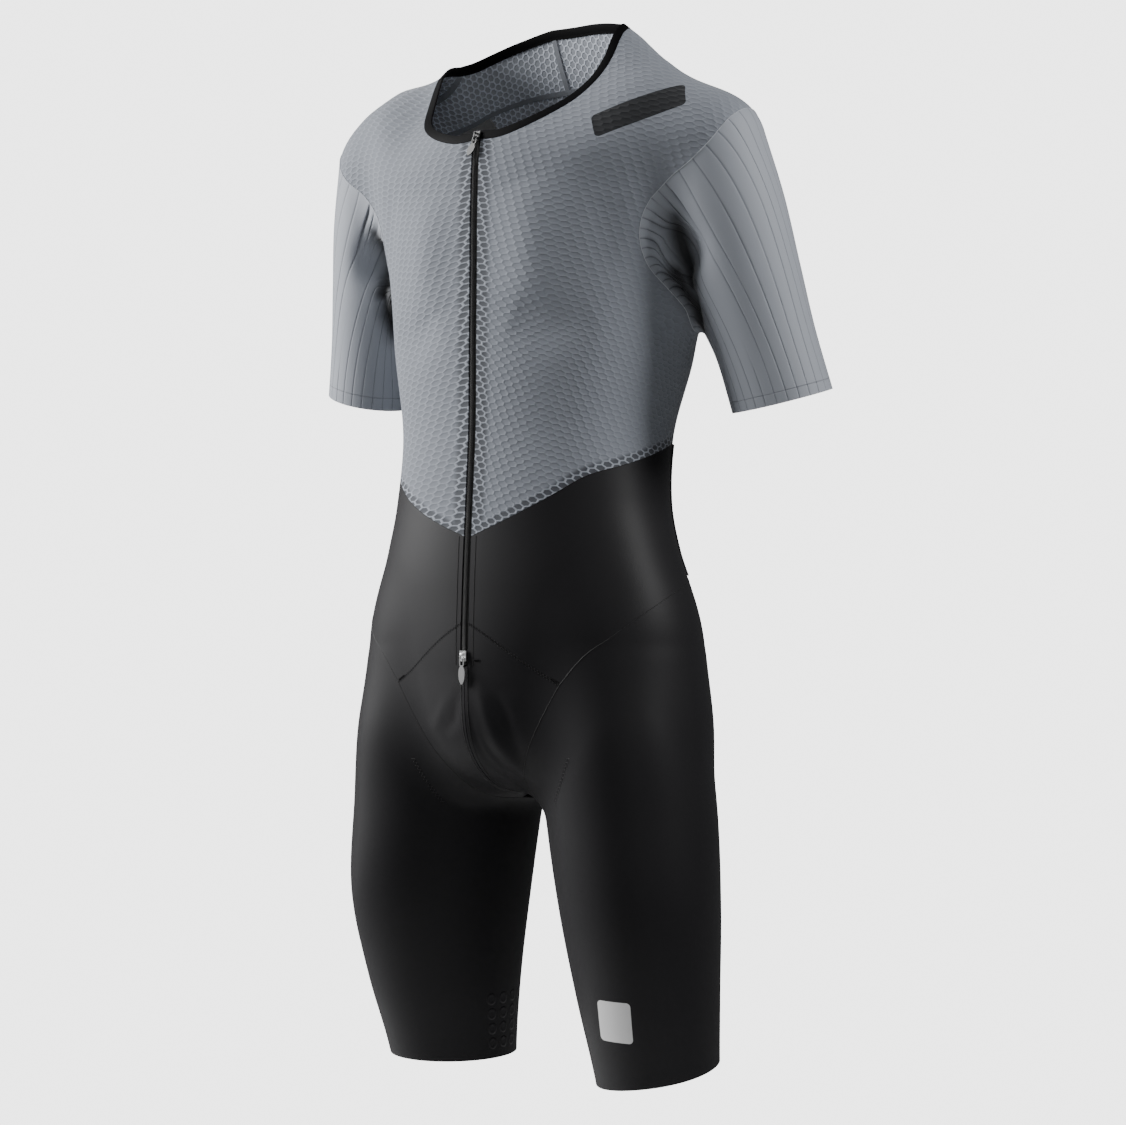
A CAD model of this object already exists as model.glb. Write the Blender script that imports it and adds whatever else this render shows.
from math import pi, radians

import bpy
import numpy as np
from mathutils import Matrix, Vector


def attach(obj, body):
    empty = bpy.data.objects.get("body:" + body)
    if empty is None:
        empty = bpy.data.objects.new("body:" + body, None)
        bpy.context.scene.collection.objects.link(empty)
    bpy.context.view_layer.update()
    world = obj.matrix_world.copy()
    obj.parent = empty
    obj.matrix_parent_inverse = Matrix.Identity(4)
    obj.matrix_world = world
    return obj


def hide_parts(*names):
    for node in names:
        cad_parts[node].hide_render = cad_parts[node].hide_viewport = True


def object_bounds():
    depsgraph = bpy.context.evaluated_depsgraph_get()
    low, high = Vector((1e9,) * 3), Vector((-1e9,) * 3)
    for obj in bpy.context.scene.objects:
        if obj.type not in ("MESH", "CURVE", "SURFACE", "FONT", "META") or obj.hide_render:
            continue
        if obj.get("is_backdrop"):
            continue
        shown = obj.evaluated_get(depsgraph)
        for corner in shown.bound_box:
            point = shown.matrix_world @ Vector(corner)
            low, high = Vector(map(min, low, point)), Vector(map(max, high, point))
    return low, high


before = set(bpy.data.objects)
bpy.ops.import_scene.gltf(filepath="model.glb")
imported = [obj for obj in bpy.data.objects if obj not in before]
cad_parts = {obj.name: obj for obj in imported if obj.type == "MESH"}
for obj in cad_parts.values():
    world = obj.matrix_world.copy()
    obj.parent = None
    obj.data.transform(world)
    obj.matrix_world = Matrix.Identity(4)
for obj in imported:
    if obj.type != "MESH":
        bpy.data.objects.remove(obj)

# Ribbed and netted cycling skinsuit, dressed over its CAD solids.
# Metres, +X at the wearer's left, -Y the front, +Z up, as in the CAD.

mm = 0.001
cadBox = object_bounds()

camera = {
    "place": (1.1168, -1.5371, -0.538),
    "turn": 36,             # degrees round from the front towards the wearer's left
    "lens": 65.3,           # on a 36 mm frame
    "shift": (0.02975, 0.0511),
}
lens = bpy.data.cameras.new("camera")
lens.lens = camera["lens"]
lens.sensor_width = 36
lens.shift_x, lens.shift_y = camera["shift"]
viewer = bpy.data.objects.new("camera", lens)
viewer.location = camera["place"]
viewer.rotation_euler = (radians(90), 0, radians(camera["turn"]))
bpy.context.scene.collection.objects.link(viewer)
bpy.context.scene.camera = viewer
print("camera set")


# The worn form

body = {
    # height, half width, front, back, front squareness, back squareness
    "torso": np.array([
        (0.120, 0.058, -0.040, 0.030, 2.0, 2.0),
        (0.060, 0.066, -0.038, 0.026, 2.0, 2.0),
        (0.020, 0.080, -0.036, 0.022, 2.0, 2.0),
        (0.000, 0.096, -0.038, 0.030, 2.0, 2.0),
        (-0.020, 0.123, -0.044, 0.040, 2.0, 2.0),
        (-0.045, 0.155, -0.056, 0.055, 2.0, 2.0),
        (-0.075, 0.185, -0.070, 0.074, 2.0, 2.3),
        (-0.110, 0.192, -0.081, 0.093, 2.0, 2.3),
        (-0.160, 0.178, -0.085, 0.110, 2.0, 2.3),
        (-0.225, 0.158, -0.086, 0.127, 2.2, 2.3),
        (-0.290, 0.148, -0.087, 0.130, 2.3, 2.3),
        (-0.370, 0.134, -0.088, 0.110, 2.2, 2.2),
        (-0.430, 0.137, -0.092, 0.098, 2.2, 2.2),
        (-0.510, 0.157, -0.097, 0.100, 2.1, 2.2),
        (-0.580, 0.164, -0.099, 0.110, 1.8, 2.2),
        (-0.640, 0.166, -0.095, 0.116, 1.5, 2.2),
        (-0.700, 0.150, -0.070, 0.105, 1.5, 2.0),
    ]),
    "crotchFloor": -0.696,
    "floorRound": 0.06,
    # height, centre across, centre depth, half width, half depth, turn in radians
    "leg": np.array([
        (-0.560, 0.093, 0.016, 0.069, 0.088, 0.45),
        (-0.640, 0.096, 0.014, 0.077, 0.098, 0.50),
        (-0.705, 0.104, 0.013, 0.078, 0.094, 0.50),
        (-0.800, 0.114, 0.013, 0.073, 0.089, 0.50),
        (-0.880, 0.117, 0.022, 0.065, 0.076, 0.50),
        (-0.955, 0.118, 0.036, 0.057, 0.063, 0.50),
        (-1.000, 0.119, 0.044, 0.054, 0.059, 0.50),
    ]),
    "legTop": -0.50,
    "legTopRound": 0.08,
    "legBlend": 0.03,
    "armTop": np.array((0.184, 0.018, -0.121)),
    "armCuff": np.array((0.236, 0.053, -0.340)),
    # moved up, tilt across, tilt in depth
    "cuffs": {"Left": (-0.005, -0.10, 0.076), "Right": (0.007, 0.0, 0.0)},
    # distance down the arm, radius
    "arm": np.array([(0, 0.050), (0.060, 0.051), (0.120, 0.048), (0.180, 0.045), (0.235, 0.045),
                     (0.300, 0.045)]),
    "armBlend": 0.03,
    "underarmBlend": 0.02,
    # hollows beside the neck and under the front of the arm: centre, depth, reach
    "hollows": ((np.array((0.088, -0.046, -0.055)), 0.018, 0.045),
                (np.array((0.176, -0.012, -0.215)), 0.015, 0.019)),
    "lift": 27 * mm,        # the right shoulder sits high
    "neckSway": 10 * mm,
    "neckDrop": 9 * mm,
}


def ease(x):
    # 3t^2 - 2t^3 with t held between 0 and 1
    t = np.clip(x, 0, 1)
    return t * t * (3 - 2 * t)


def curve(table, column, at):
    # cubic Hermite through the table's rows, with slopes from neighbouring rows
    x = table[:, 0]
    y = table[:, column]
    if x[0] > x[-1]:
        x = x[::-1]
        y = y[::-1]
    at = np.clip(at, x[0], x[-1])
    slope = np.gradient(y, x)
    i = np.clip(np.searchsorted(x, at) - 1, 0, len(x) - 2)
    span = x[i + 1] - x[i]
    t = (at - x[i]) / span
    start = (1 + 2 * t) * (1 - t) ** 2 * y[i] + t * (1 - t) ** 2 * span * slope[i]
    end = t * t * (3 - 2 * t) * y[i + 1] + t * t * (t - 1) * span * slope[i + 1]
    return start + end


def softMin(a, b, reach):
    # the lower of two distances, less a parabola where they are within reach of each other
    near = np.maximum(reach - np.abs(a - b), 0) / reach
    return np.minimum(a, b) - near * near * reach / 4


def softMax(a, b, reach):
    return -softMin(-a, -b, reach)


def torsoDistance(p):
    # distance along the ray from each section's middle to its power ellipse, closed below by a floor
    x, y, z = p.T
    torso = body["torso"]
    half = curve(torso, 1, z)
    front = curve(torso, 2, z)
    back = curve(torso, 3, z)
    middle = (front + back) / 2
    deep = (back - front) / 2
    square = np.where(y < middle, curve(torso, 4, z), curve(torso, 5, z))
    ratio = ((np.abs(x) / half) ** square + (np.abs(y - middle) / deep) ** square) ** (1 / square) + 1e-9
    away = np.hypot(x, y - middle)
    return softMax(away - away / ratio, body["crotchFloor"] - z, body["floorRound"])


def legDistance(p):
    # the same for turned ellipses, closed above
    x, y, z = p.T
    leg = body["leg"]
    across = np.abs(x) - curve(leg, 1, z)
    deep = y - curve(leg, 2, z)
    turn = curve(leg, 5, z)
    u = across * np.cos(turn) + deep * np.sin(turn)
    v = deep * np.cos(turn) - across * np.sin(turn)
    ratio = np.hypot(u / curve(leg, 3, z), v / curve(leg, 4, z)) + 1e-9
    away = np.hypot(u, v)
    return softMax(away - away / ratio, z - body["legTop"], body["legTopRound"])


armLong = np.linalg.norm(body["armCuff"] - body["armTop"])
armAxis = (body["armCuff"] - body["armTop"]) / armLong


def folded(p):
    # both sides brought over to the left one
    return np.column_stack([np.abs(p[:, 0]), p[:, 1], p[:, 2]])


def armDistance(p):
    # a round limb whose radius follows the distance along its axis
    q = folded(p) - body["armTop"]
    along = np.clip(q @ armAxis, 0, body["arm"][-1, 0])
    return np.linalg.norm(q - along[:, None] * armAxis, axis=1) - curve(body["arm"], 1, along)


def bodyDistance(p):
    # torso, legs and arms joined softly, less a Gaussian for each hollow
    lower = softMin(torsoDistance(p), legDistance(p), body["legBlend"])
    reach = body["armBlend"] + body["underarmBlend"] * ease((-0.19 - p[:, 2]) / 0.06)
    whole = softMin(lower, armDistance(p), reach)
    for centre, depth, reach in body["hollows"]:
        off = (folded(p) - centre) / reach
        whole = whole + depth * np.exp(-np.sum(off * off, axis=1))
    return whole


def slopeAt(p):
    # central differences of the distance
    step = 0.4 * mm
    parts = [(bodyDistance(p + axis) - bodyDistance(p - axis)) / (2 * step) for axis in np.eye(3) * step]
    return np.column_stack(parts)


def unit(vectors):
    return vectors / np.maximum(np.linalg.norm(vectors, axis=-1, keepdims=True), 1e-12)


def outward(p):
    return unit(slopeAt(p.reshape(-1, 3))).reshape(p.shape)


def ontoBody(p, rounds=9):
    # Newton steps along the slope, none longer than 12 mm
    q = p.reshape(-1, 3).copy()
    for _ in range(rounds):
        direction = slopeAt(q)
        size = np.sum(direction * direction, axis=1, keepdims=True)
        move = bodyDistance(q)[:, None] * direction / size
        length = np.linalg.norm(move, axis=1, keepdims=True)
        q -= move * np.minimum(1, 12 * mm / np.maximum(length, 1e-9))
    return q.reshape(p.shape)


def shiftAt(p):
    # the high right shoulder and the leaning neck, eased in across and up
    x, y, z = (p[..., axis] for axis in range(3))
    shift = np.zeros_like(p)
    neck = ease((0.15 - np.abs(x)) / 0.05) * ease((z + 0.10) / 0.07)
    shift[..., 0] = body["neckSway"] * neck
    high = ease((-x - 0.10) / 0.09) * ease((z + 0.42) / 0.13)
    shift[..., 2] = body["lift"] * high - body["neckDrop"] * neck * ease(-x / 0.09) * ease((0.055 - y) / 0.03)
    return shift


# Creases: points along each, width, depth. Millimetres before the shoulder is lifted.
# A depth less than 0 goes in.
creasesBothSides = (
    # folds under the arms, then the chest's relief, the pull at the armholes, the seat and the back
    (((170, -19, -176), (168, -9, -197), (167, 1, -211), (171, 3, -224), (175, 0, -236)), 7, -3),
    (((168, 2, -206), (174, 1, -236), (179, 2, -255), (178, 11, -271), (176, 22, -284)), 4.5, -4),
    (((52, -86, -150), (60, -85, -190), (62, -84, -225), (52, -86, -262)), 27, 4.5),
    (((44, -88, -268), (78, -80, -284), (112, -66, -270)), 20, -3),
    (((110, -60, -130), (122, -60, -180), (128, -58, -240)), 17, -2.5),
    (((150, -26, -276), (136, -54, -296), (112, -70, -330)), 5, -0.9),
    (((60, 100, -640), (40, 96, -664), (20, 88, -690)), 8, -0.9),
    (((116, 76, -664), (142, 50, -680), (164, 16, -690)), 9, -0.6),
    (((150, 76, -240), (118, 100, -262), (72, 122, -296)), 10, -0.9),
    (((152, 66, -268), (128, 90, -298), (92, 110, -334)), 8, -0.7),
)
creasesOneSide = (
    # the pull at the armholes, the crotch, then the small of the back
    (((152, -14, -288), (140, -44, -318), (118, -66, -352)), 6, -0.8),
    (((154, 4, -292), (146, -30, -336), (128, -56, -372)), 6, -0.7),
    (((-152, -14, -288), (-140, -44, -318), (-118, -66, -352)), 6, -0.7),
    (((9, -98, -590), (26, -94, -598), (50, -88, -603)), 5, -0.7),
    (((14, -98, -590), (21, -95, -622), (28, -88, -646), (36, -72, -668), (45, -58, -686)), 6.5, 2.2),
    (((30, -94, -600), (40, -90, -622), (43, -80, -648), (47, -66, -668)), 5, -1.5),
    (((5, -97, -620), (9, -92, -645), (14, -70, -674), (26, -44, -692)), 3.5, -1.0),
    (((12, -95, -632), (18, -88, -652), (26, -72, -670), (36, -56, -684)), 2.5, -0.7),
    (((-6, -98, -600), (-14, -95, -628), (-34, -87, -642)), 6, -0.8),
    (((-20, -95, -606), (-34, -90, -626), (-50, -82, -640)), 6, 0.6),
    (((-64, -60, -700), (-46, -40, -712), (-26, 4, -716)), 6, -0.9),
    (((64, -60, -700), (46, -40, -712), (26, 4, -716)), 6, -0.7),
    (((36, 106, -402), (76, 96, -394), (112, 76, -388)), 9, -0.9),
    (((-46, 106, -410), (-80, 96, -400), (-114, 74, -392)), 9, -0.9),
    (((16, 108, -392), (52, 102, -385), (84, 96, -384)), 6, -0.5),
)
creasesMirrored = tuple((tuple((-x, y, z) for x, y, z in line), wide, deep)
                        for line, wide, deep in creasesBothSides)
creases = creasesBothSides + creasesMirrored + creasesOneSide


def nearLine(flat, line):
    # distance from a line of several points, and the part of its length where it is nearest
    line = np.array(line) * mm
    count = len(line) - 1
    away = np.full(len(flat), 9.0)
    along = np.zeros(len(flat))
    for k in range(count):
        span = line[k + 1] - line[k]
        part = np.clip((flat - line[k]) @ span / (span @ span), 0, 1)
        reach = np.linalg.norm(flat - line[k] - part[:, None] * span, axis=1)
        nearer = reach < away
        away[nearer] = reach[nearer]
        along[nearer] = (k + part[nearer]) / count
    return away, along


def creaseAt(p):
    # each crease is a bell across its line times a half wave along it, and they add up
    flat = p.reshape(-1, 3)
    total = np.zeros(len(flat))
    for line, wide, deep in creases:
        away, along = nearLine(flat, line)
        total += deep * mm * np.exp(-(away / (wide * mm)) ** 2) * np.sin(pi * along) ** 0.7
    return total.reshape(p.shape[:-1])


# Where cloth lies against cloth under the left arm: points, reach
foldShade = (
    (((170, -14, -186), (167, -4, -203), (167, 2, -214), (172, 3, -228), (177, 0, -244)), 11),
    (((160, 0, -232), (172, 4, -250), (176, 8, -264), (176, 20, -280)), 12),
)


def shadeAt(p):
    # 1 in the fold, falling off as a bell
    flat = p.reshape(-1, 3)
    total = np.zeros(len(flat))
    for line, wide in foldShade:
        total = np.maximum(total, np.exp(-(nearLine(flat, line)[0] / (wide * mm)) ** 2))
    return total.reshape(p.shape[:-1])


# Seams of the left half, millimetres: across, depth, height
seams = {
    "neckEdge": ((0, -79, -98), (22, -78, -99), (45, -72, -93), (65, -62, -83), (80, -52, -71),
                 (90, -41, -56), (95, -30, -38), (95, -16, -18), (92, 2, -3), (78, 14, 6), (52, 20, 11),
                 (25, 21, 12), (0, 20, 13)),
    "shoulderPoint": 8,
    "shoulder": ((100, 16, -8), (132, 22, -32), (178, 32, -62), (226, 30, -88)),
    "yoke": ((0, 50, -38), (60, 52, -37), (105, 58, -39), (140, 66, -51), (172, 76, -81), (205, 74, -120)),
    "backNeck": ((0, 25, 6), (0, 36, -14), (0, 50, -38)),
    "holePleated": ((157, 47, -264), (156, 20, -257), (151, -8, -242), (147, -27, -224),
                    (146, -36, -205), (151, -39, -184), (158, -38, -171)),
    "holeFront": ((158, -38, -171), (174, -35, -155), (194, -34, -142), (213, -28, -124), (224, -14, -104),
                  (228, 9, -91), (226, 30, -88)),
    "holeYoke": ((226, 30, -88), (220, 55, -98), (205, 74, -120)),
    "holeBack": ((205, 74, -120), (178, 86, -146), (160, 90, -180), (153, 86, -214), (152, 69, -244),
                 (157, 47, -264)),
    "sideTop": ((126, 50, -376), (137, 53, -335), (147, 52, -300), (157, 47, -264)),
    "veeFront": ((4.2, -94, -463), (42, -90, -448), (79, -78, -429), (104, -61, -412), (125, -30, -401),
                 (133, 20, -385), (126, 50, -376)),
    "veeBack": ((126, 50, -376), (105, 85, -371), (60, 106, -368), (0, 111, -366)),
    "sideLow": ((126, 50, -376), (130, 50, -420), (142, 52, -462), (151, 50, -498)),
    "centreTop": ((4.2, -81, -108), (4.2, -85, -160), (4.2, -87, -250), (4.2, -87, -340), (4.2, -94, -463)),
    "centreMid": ((4.2, -94, -463), (4.2, -97, -510), (4.2, -98, -541)),
    "centreLow": ((4.2, -98, -541), (4.2, -99, -560), (4.2, -99, -578), (0.2, -99, -580), (0.2, -98, -600),
                  (0.2, -97, -622), (0.2, -92, -643), (0.2, -78, -664), (0.2, -52, -684), (0.2, -20, -695),
                  (0.2, 12, -697)),
    "diagonal": ((4.2, -98, -541), (22, -97, -551), (46, -92, -567), (70, -84, -583), (90, -76, -595)),
    "hip": ((90, -76, -595), (110, -69, -571), (130, -57, -553), (146, -36, -534), (156, -8, -517),
            (157, 20, -507), (151, 50, -498)),
    "legFront": ((90, -76, -595), (72, -80, -624), (56, -78, -650), (42, -68, -675), (32, -44, -692),
                 (22, -12, -702), (18, 12, -703)),
    "legBack": ((18, 12, -703), (26, 55, -698), (52, 94, -668), (88, 112, -618), (122, 104, -566),
                (144, 78, -524), (151, 50, -498)),
    # each seam's steps in the CAD, and the steps here to one of those
    "steps": {"yoke": 8, "holePleated": 8, "holeFront": 9, "holeYoke": 3, "holeBack": 8, "sideTop": 7,
              "sideLow": 7, "veeFront": 11, "veeBack": 8, "centreMid": 7, "diagonal": 4, "hip": 7,
              "legFront": 10, "legBack": 12},
    "fine": 6,
    "gap": 0.3 * mm,
}
holeSeams = ("holePleated", "holeFront", "holeYoke", "holeBack")
sides = (("Left", False), ("Right", True))      # the name of each half, and whether it is mirrored
fine = seams["fine"]
zipSlot = 4.2 * mm
bindingWidth = 8 * mm
wallThick = 1.4 * mm


def lengthAlong(points):
    return np.concatenate([[0], np.cumsum(np.linalg.norm(np.diff(points, axis=0), axis=1))])


def through(points, at):
    # the smooth curve through the points, read at parts of its chord length
    points = np.array(points, float)
    along = lengthAlong(points)
    table = np.column_stack([along, points])
    return np.column_stack([curve(table, column, np.asarray(at) * along[-1]) for column in (1, 2, 3)])


def seam(points, steps):
    return ontoBody(through(np.array(points, float) * mm, np.linspace(0, 1, steps + 1)))


def straightSeam(points, times):
    # straight lines between the points, settled on the body
    points = np.array(points, float) * mm
    at = np.linspace(0, len(points) - 1, (len(points) - 1) * times + 1)
    index = np.arange(len(points))
    return ontoBody(np.column_stack([np.interp(at, index, points[:, k]) for k in range(3)]))


def join(*parts):
    return np.vstack([parts[0]] + [part[1:] for part in parts[1:]])


def mirror(points):
    return points * np.array((-1, 1, 1))


def acrossLine(line, normals):
    # square to the line, in the surface
    return unit(np.cross(np.gradient(line, axis=0), normals))


def beside(points, distance):
    # each point moved across the line, along the surface
    return ontoBody(points + acrossLine(points, outward(points)) * distance)


def makeSeams():
    s = {}
    edge = np.array(seams["neckEdge"], float) * mm
    point = seams["shoulderPoint"]
    s["edgeFront"] = ontoBody(through(edge[:point + 1], np.linspace(0, 1, 9 * fine + 1)))
    s["edgeBack"] = ontoBody(through(edge[point:], np.linspace(0, 1, 5 * fine + 1)))
    whole = join(s["edgeFront"], s["edgeBack"])
    ring = join(mirror(whole[:3][::-1]), whole, mirror(whole[-3:][::-1]))
    lower = beside(ring, bindingWidth)[2:-2]
    lower[-1, 0] = 0
    s["neckFront"] = lower[:9 * fine + 1]
    s["neckFront"][0] = ontoBody(np.array([(zipSlot, lower[0, 1], lower[0, 2])]))[0]
    s["edgeFront"][0, 0] = zipSlot
    s["neckBack"] = lower[9 * fine:]
    top = tuple(s["neckFront"][0] / mm)
    corner = tuple(s["neckFront"][-1] / mm)
    centre = seams["centreTop"]
    s["centreTop"] = seam((centre[-1],) + centre[-2:0:-1] + (top,), 15 * fine)
    s["shoulder"] = seam((corner,) + seams["shoulder"][1:], 11 * fine)
    s["yokeFine"] = seam(seams["yoke"], 2 * seams["steps"]["yoke"] * fine)
    s["centreBack"] = seam((tuple(lower[-1] / mm),) + seams["backNeck"][1:], 3 * fine)
    s["centreLow"] = straightSeam(seams["centreLow"], fine)
    for key, steps in seams["steps"].items():
        s[key] = seam(seams[key], steps * fine)
    return s


# Meshes from grids

def addMesh(name, points, faces, smooth=60):
    mesh = bpy.data.meshes.new(name)
    mesh.from_pydata(np.asarray(points, float).reshape(-1, 3), [], faces)
    mesh.update()
    if smooth:
        mesh.shade_smooth()
        mesh.set_sharp_from_angle(angle=radians(smooth))
    made = bpy.data.objects.new(name, mesh)
    bpy.context.scene.collection.objects.link(made)
    return made


def addValue(piece, name, values, kind="FLOAT"):
    # one number or vector for each vertex
    layer = piece.data.attributes.new(name, kind, "POINT")
    layer.data.foreach_set("value" if kind == "FLOAT" else "vector", np.asarray(values, np.float32).ravel())


def gridFaces(rows, columns, closed, offset, flip):
    i = np.arange(rows - 1)[:, None]
    j = np.arange(columns if closed else columns - 1)[None, :]
    a = offset + i * columns + j
    b = offset + i * columns + (j + 1) % columns
    faces = np.stack([a, b, b + columns, a + columns], axis=-1).reshape(-1, 4)
    return faces[:, ::-1] if flip else faces


def patch(bottom, top, left, right, bulge=0):
    # Coons patch: the two ruled surfaces added, less the bilinear one, then settled on the body
    u = np.linspace(0, 1, len(bottom))[None, :, None]
    v = np.linspace(0, 1, len(left))[:, None, None]
    across = (1 - v) * bottom[None] + v * top[None]
    upward = (1 - u) * left[:, None] + u * right[:, None]
    corners = ((1 - v) * ((1 - u) * bottom[0] + u * bottom[-1])
               + v * ((1 - u) * top[0] + u * top[-1]))
    out = bulge * np.sqrt(4 * v * (1 - v)) * (1 - np.abs(2 * u - 1) ** 3)
    grid = ontoBody(across + upward - corners + out * np.array((0, 1, 0)))
    grid[0] = bottom
    grid[-1] = top
    grid[:, 0] = left
    grid[:, -1] = right
    return grid


def edgeShift(line, inner, normals):
    # half a seam gap, across the edge and into the panel
    across = acrossLine(line, normals)
    toward = np.sign(np.sum(across * (inner - line), axis=1, keepdims=True))
    return across * toward * seams["gap"] / 2


def pullIn(grid, normals, closed=False):
    out = grid.copy()
    out[0] += edgeShift(grid[0], grid[1], normals[0])
    out[-1] += edgeShift(grid[-1], grid[-2], normals[-1])
    if not closed:
        out[:, 0] += edgeShift(grid[:, 0], grid[:, 1], normals[:, 0])
        out[:, -1] += edgeShift(grid[:, -1], grid[:, -2], normals[:, -1])
    return out


def wallFaces(outer, inner, closed, offset=0):
    # quads of the outer face, the inner face and the rim that joins them, all turned outwards
    rows, columns = outer.shape[:2]
    facing = np.cross(outer[:-1, 1:] - outer[:-1, :-1], outer[1:, :-1] - outer[:-1, :-1])
    flip = bool(np.sum(facing * (outer - inner)[:-1, :-1]) < 0)
    count = rows * columns
    outerFaces = gridFaces(rows, columns, closed, 0, flip)
    innerFaces = gridFaces(rows, columns, closed, count, not flip)
    j = np.arange(columns if closed else columns - 1)
    low = np.stack([j, (j + 1) % columns], axis=1)
    start = (rows - 1) * columns
    rings = [low, (start + low)[:, ::-1]]
    if not closed:
        i = np.arange(rows - 1)
        rings.append(np.stack([(i + 1) * columns, i * columns], axis=1))
        rings.append(np.stack([(i + 1) * columns - 1, (i + 2) * columns - 1], axis=1))
    ring = np.concatenate(rings)
    rim = np.stack([ring[:, 0], ring[:, 0] + count, ring[:, 1] + count, ring[:, 1]], axis=1)
    if flip:
        rim = rim[:, ::-1]
    return outerFaces + offset, innerFaces + offset, rim + offset


def wall(name, outer, inner, closed=False, values=None):
    # two grids of points joined round their edges; values are grids of numbers that both faces carry
    outerFaces, innerFaces, rim = wallFaces(outer, inner, closed)
    points = np.concatenate([outer.reshape(-1, 3), inner.reshape(-1, 3)])
    piece = addMesh(name, points, np.concatenate([outerFaces, innerFaces, rim]), smooth=50)
    slots = np.zeros(len(piece.data.polygons), np.int32)
    slots[len(outerFaces):len(outerFaces) + len(innerFaces)] = 1
    piece.data.polygons.foreach_set("material_index", slots)
    for key, grid in (values or {}).items():
        if grid.ndim == 3:
            addValue(piece, key, np.concatenate([grid.reshape(-1, 3)] * 2), "FLOAT_VECTOR")
        else:
            addValue(piece, key, np.concatenate([grid.ravel()] * 2))
    return piece


def walls(name, pairs):
    # several walls in one mesh
    points = []
    faces = []
    offset = 0
    for outer, inner in pairs:
        faces.extend(wallFaces(outer, inner, False, offset))
        points += [outer.reshape(-1, 3), inner.reshape(-1, 3)]
        offset += 2 * outer.shape[0] * outer.shape[1]
    return addMesh(name, np.concatenate(points), np.concatenate(faces), smooth=50)


def worn(points, normals, mirrored, face=None):
    # Sides swapped if mirrored, then creased along the normals and shifted with the shoulder and neck.
    # The creases are read at the cloth's face, so a wall keeps its thickness in a fold.
    face = points if face is None else face
    if mirrored:
        points, normals, face = mirror(points), mirror(normals), mirror(face)
    return points + normals * creaseAt(face)[..., None] + shiftAt(points)


def inEditMode(piece, work):
    # work runs with all of the piece selected
    bpy.ops.object.select_all(action="DESELECT")
    bpy.context.view_layer.objects.active = piece
    piece.select_set(True)
    bpy.ops.object.mode_set(mode="EDIT")
    bpy.ops.mesh.select_all(action="SELECT")
    work()
    bpy.ops.object.mode_set(mode="OBJECT")


def fixNormals(piece):
    # every closed shell turned to face outwards
    inEditMode(piece, lambda: bpy.ops.mesh.normals_make_consistent(inside=False))


def layFlat(grid, *names):
    # The grid unwrapped flat with its angles kept, at its real area, with the wearer's up as +v.
    # Its size and area are noted for each named piece.
    rows, columns = grid.shape[:2]
    piece = addMesh("cut", grid, gridFaces(rows, columns, False, 0, False), smooth=0)
    piece.data.uv_layers.new(name="cut")
    inEditMode(piece, lambda: bpy.ops.uv.unwrap(method="ANGLE_BASED", margin=0))
    count = len(piece.data.loops)
    uv = np.zeros(count * 2)
    index = np.zeros(count, np.int64)
    piece.data.uv_layers[0].data.foreach_get("uv", uv)
    piece.data.loops.foreach_get("vertex_index", index)
    flat = np.zeros((rows * columns, 2))
    flat[index] = uv.reshape(-1, 2)
    bpy.data.objects.remove(piece, do_unlink=True)

    def area(q):
        q = q.reshape(rows, columns, -1)
        a = q[1:, 1:] - q[:-1, :-1]
        b = q[1:, :-1] - q[:-1, 1:]
        cross = np.cross(a, b)
        size = np.abs(cross) if cross.ndim == 2 else np.linalg.norm(cross, axis=-1)
        return float(size.sum() / 2)

    real = area(grid)
    flat -= flat.mean(axis=0)
    flat *= np.sqrt(real / area(flat))
    height = grid.reshape(-1, 3)[:, 2]
    up = np.linalg.lstsq(np.column_stack([flat, np.ones(len(flat))]), height, rcond=None)[0][:2]
    up /= np.linalg.norm(up)
    turned = np.column_stack([flat @ np.array((up[1], -up[0])), flat @ up])
    if (turned[:, 0] * grid.reshape(-1, 3)[:, 0]).sum() < 0:
        turned[:, 0] *= -1
    # the smallest box round the cut, of those turned by whole degrees
    return turned.reshape(rows, columns, 2)


def distanceTo(grid, line):
    # nearest of the line's points, for each point of the grid
    flat = grid.reshape(-1, 3)
    best = np.full(len(flat), 9.0)
    for start in range(0, len(line), 20):
        away = np.linalg.norm(flat[:, None] - line[None, start:start + 20], axis=2).min(axis=1)
        best = np.minimum(best, away)
    return best.reshape(grid.shape[:2])


# Node helpers

def feed(tree, node, inputs):
    # an output is linked, a plain value is set
    for key, value in inputs.items():
        if isinstance(value, bpy.types.NodeSocket):
            tree.links.new(value, node.inputs[key])
        else:
            node.inputs[key].default_value = value


def put(tree, kind, inputs=None, **settings):
    node = tree.nodes.new("ShaderNode" + kind)
    for key, value in settings.items():
        setattr(node, key, value)
    feed(tree, node, inputs or {})
    return node


def calc(tree, operation, a, b=0.0, c=0.0):
    return put(tree, "Math", {0: a, 1: b, 2: c}, operation=operation).outputs[0]


def calcVector(tree, operation, a, b=(0, 0, 0)):
    node = put(tree, "VectorMath", {0: a, 1: b}, operation=operation)
    return node.outputs["Value" if operation in ("LENGTH", "DOT_PRODUCT") else "Vector"]


def wrap(tree, vector, high, low):
    return put(tree, "VectorMath", {0: vector, 1: high, 2: low}, operation="WRAP").outputs[0]


def blendColour(tree, part, a, b):
    return put(tree, "Mix", {"Factor": part, 6: a, 7: b}, data_type="RGBA").outputs[2]


def step(tree, value, low, high):
    # 0 below low and 1 above high, eased between
    return put(tree, "MapRange", {"Value": value, "From Min": low, "From Max": high},
               interpolation_type="SMOOTHSTEP").outputs["Result"]


def grey(value, tint=0.0):
    # a grey with a little blue
    return (value * (1 - tint), value, value * (1 + 2 * tint), 1)


def black(value):
    # a near black with a little violet
    return (value * 1.02, value * 0.97, value * 1.12, 1)


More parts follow.
